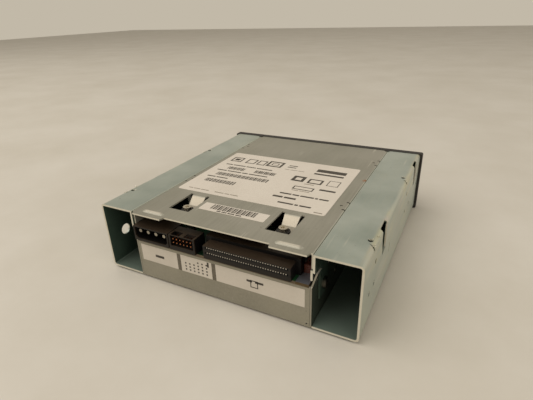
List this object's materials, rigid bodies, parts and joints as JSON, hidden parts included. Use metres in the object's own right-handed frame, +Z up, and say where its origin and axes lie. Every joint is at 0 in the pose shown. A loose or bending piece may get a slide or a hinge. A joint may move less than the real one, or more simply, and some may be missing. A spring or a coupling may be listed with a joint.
{
  "type": "data tape drive",
  "caption": "Half-height cartridge tape drive lying on its lid, with folded adapter brackets for a wide bay, a dark bezel and rear sockets; tape mechanism inside.",
  "frame": {"origin": "under the middle of the drive, on the surface that the lower edge of the bezel rests on", "axes": "+Z up as it lies, on its lid; the bezel faces -Y and the sockets face +Y; +X is the left side seen from the bezel with the drive as it lies"},
  "size_m": [0.149, 0.155, 0.0417],
  "materials": {
    "body_zinc": "zinc-plated folded steel, dull grey-beige, lightly scratched",
    "bracket_zinc": "zinc-plated steel with faint yellow passivation bloom",
    "bezel_plastic": "near-black moulded plastic",
    "spring_steel": "drawn spring wire",
    "screw_steel": "plated screw heads",
    "label_paper": "warm white matt label stock",
    "clear_plastic": "clear moulded light pipe",
    "board_green": "green circuit board",
    "component_black": "black moulded components",
    "cable_film": "amber flexible cable film",
    "frame_casting": "cast and pressed frame, plain finish",
    "grommet_rubber": "soft black rubber",
    "connector_plastic": "brown-black connector housing",
    "power_pin_metal": "bright tinned pins",
    "gold_pin": "plated contact pins",
    "pack_brown": "dipped red-brown resistor pack",
    "drum_alloy": "diamond-turned aluminium",
    "head_ferrite": "dark ferrite heads",
    "motor_steel": "plated motor steel",
    "ground_steel": "ground steel",
    "sintered_bronze": "sintered bearing metal",
    "winding_copper": "enamelled copper windings",
    "gear_plastic": "off-white moulded gears and reel tables",
    "guide_white": "white guide rollers",
    "pinion_brass": "brass pinion",
    "pressed_steel": "plated pressed steel"
  },
  "bodies": {
    "drive": {"bearings": "sintered_bronze", "bezel": "bezel_plastic", "board_parts": "component_black", "bottom_cover": "body_zinc", "carriage_guides": "pressed_steel", "deck_plate": "frame_casting", "deck_studs": "motor_steel", "door_pin": "spring_steel", "door_spring": "spring_steel", "drum_base": "drum_alloy", "eject_spring": "spring_steel", "front_beam": "frame_casting", "front_flex_cable": "cable_film", "front_panel_board": "board_green", "jumper_header": "connector_plastic", "left_bracket": "bracket_zinc", "left_rail": "frame_casting", "light_pipes": "clear_plastic", "loading_motor": "motor_steel", "lower_drum": "drum_alloy", "main_board": "board_green", "motor_bracket": "frame_casting", "motor_windings": "winding_copper", "panel_parts": "component_black", "power_connector": "connector_plastic", "power_pins": "power_pin_metal", "rating_label": "label_paper", "rear_label": "label_paper", "resistor_pack": "pack_brown", "right_bracket": "bracket_zinc", "right_rail": "frame_casting", "scsi_connector": "connector_plastic", "serial_label": "label_paper", "shock_grommets": "grommet_rubber", "shock_screws": "screw_steel", "side_screws": "screw_steel", "signal_pins": "gold_pin", "top_cover": "body_zinc"},
    "cassette_door": {"door": "bezel_plastic"},
    "eject_key": {"eject_button": "bezel_plastic"},
    "spinning_drum": {"upper_drum": "drum_alloy", "drum_heads": "head_ferrite", "drum_shaft": "ground_steel", "drum_rotor": "motor_steel"},
    "capstan": {"capstan_shaft": "ground_steel", "capstan_flywheel": "motor_steel"},
    "supply_table": {"supply_reel": "gear_plastic"},
    "takeup_table": {"takeup_reel": "gear_plastic"},
    "supply_guide": {"supply_arm": "ground_steel"},
    "supply_guide_roller": {"supply_roller": "guide_white"},
    "takeup_guide": {"takeup_arm": "ground_steel"},
    "takeup_guide_roller": {"takeup_roller": "guide_white"},
    "pinch_lever": {"pinch_arm": "ground_steel"},
    "pinch_tyre": {"pinch_roller": "grommet_rubber"},
    "rack_slide": {"threading_slide": "pressed_steel"},
    "cam": {"cam_gear": "gear_plastic"},
    "double_gear": {"intermediate_gear": "gear_plastic"},
    "motor_gear": {"motor_pinion": "pinion_brass"},
    "carriage": {"carriage_slides": "pressed_steel"},
    "basket": {"cassette_basket": "pressed_steel"}
  },
  "joints": [
    {"name": "cam_turn", "type": "hinge", "parent": "drive", "child": "cam", "pos_m": [-0.025, 0.0165, 0.0195], "axis": [0, 0, 1], "range_deg": [0, 270]},
    {"name": "door_hinge", "type": "hinge", "parent": "drive", "child": "cassette_door", "pos_m": [0, -0.0761, 0.0153], "axis": [1, 0, 0], "range_deg": [0, 90]},
    {"name": "eject_press", "type": "slide", "parent": "drive", "child": "eject_key", "axis": [0, 1, 0], "range_m": [0, 0.0012], "stiffness_N_per_m": 300, "springref_m": -0.001, "deforming": ["eject_spring"]},
    {"name": "drum_spin", "type": "hinge", "parent": "drive", "child": "spinning_drum", "pos_m": [0, 0.019, 0.0126], "axis": [0, -0.1115, 0.9938], "continuous": true},
    {"name": "capstan_spin", "type": "hinge", "parent": "drive", "child": "capstan", "pos_m": [-0.029, -0.0155, 0.0195], "axis": [0, 0, 1], "continuous": true},
    {"name": "supply_spin", "type": "hinge", "parent": "drive", "child": "supply_table", "pos_m": [0.015, -0.031, 0.0195], "axis": [0, 0, 1], "continuous": true},
    {"name": "takeup_spin", "type": "hinge", "parent": "drive", "child": "takeup_table", "pos_m": [-0.015, -0.031, 0.0195], "axis": [0, 0, 1], "continuous": true},
    {"name": "supply_swing", "type": "hinge", "parent": "drive", "child": "supply_guide", "pos_m": [0.0422, -0.0058, 0.0195], "axis": [0, 0, 1], "range_deg": [-70.43, 0]},
    {"name": "takeup_swing", "type": "hinge", "parent": "drive", "child": "takeup_guide", "pos_m": [-0.0422, -0.0058, 0.0195], "axis": [0, 0, 1], "range_deg": [0, 70.43]},
    {"name": "supply_roller_spin", "type": "hinge", "parent": "supply_guide", "child": "supply_guide_roller", "pos_m": [0.014, -0.01399, 0.0126], "axis": [0, 0, 1], "continuous": true},
    {"name": "takeup_roller_spin", "type": "hinge", "parent": "takeup_guide", "child": "takeup_guide_roller", "pos_m": [-0.014, -0.01399, 0.0126], "axis": [0, 0, 1], "continuous": true},
    {"name": "pinch_swing", "type": "hinge", "parent": "drive", "child": "pinch_lever", "pos_m": [-0.0435, 0.007, 0.0195], "axis": [0, 0, 1], "range_deg": [-26, 0]},
    {"name": "pinch_roller_spin", "type": "hinge", "parent": "pinch_lever", "child": "pinch_tyre", "pos_m": [-0.02483, -0.004, 0.0126], "axis": [0, 0, 1], "continuous": true},
    {"name": "rack_travel", "type": "slide", "parent": "drive", "child": "rack_slide", "axis": [0, 1, 0], "range_m": [0, 0.00492]},
    {"name": "double_gear_turn", "type": "hinge", "parent": "drive", "child": "double_gear", "pos_m": [-0.03798, 0.02174, 0.0195], "axis": [0, 0, 1], "range_deg": [-991, 0]},
    {"name": "motor_turn", "type": "hinge", "parent": "drive", "child": "motor_gear", "pos_m": [-0.03798, 0.01214, 0.0195], "axis": [0, 0, 1], "range_deg": [0, 2971]},
    {"name": "carriage_draw", "type": "slide", "parent": "drive", "child": "carriage", "axis": [0, 1, 0], "range_m": [0, 0.02]},
    {"name": "basket_lift", "type": "slide", "parent": "carriage", "child": "basket", "axis": [0, 0, 1], "range_m": [0, 0.0045]}
  ],
  "couplings": [
    {"joint": "rack_travel", "follows": "cam_turn", "m_per_rad": 0.0010419},
    {"joint": "supply_swing", "follows": "cam_turn", "ratio": -0.26048},
    {"joint": "takeup_swing", "follows": "cam_turn", "ratio": 0.26048},
    {"joint": "double_gear_turn", "follows": "cam_turn", "ratio": -3.6667},
    {"joint": "motor_turn", "follows": "cam_turn", "ratio": 11}
  ]
}
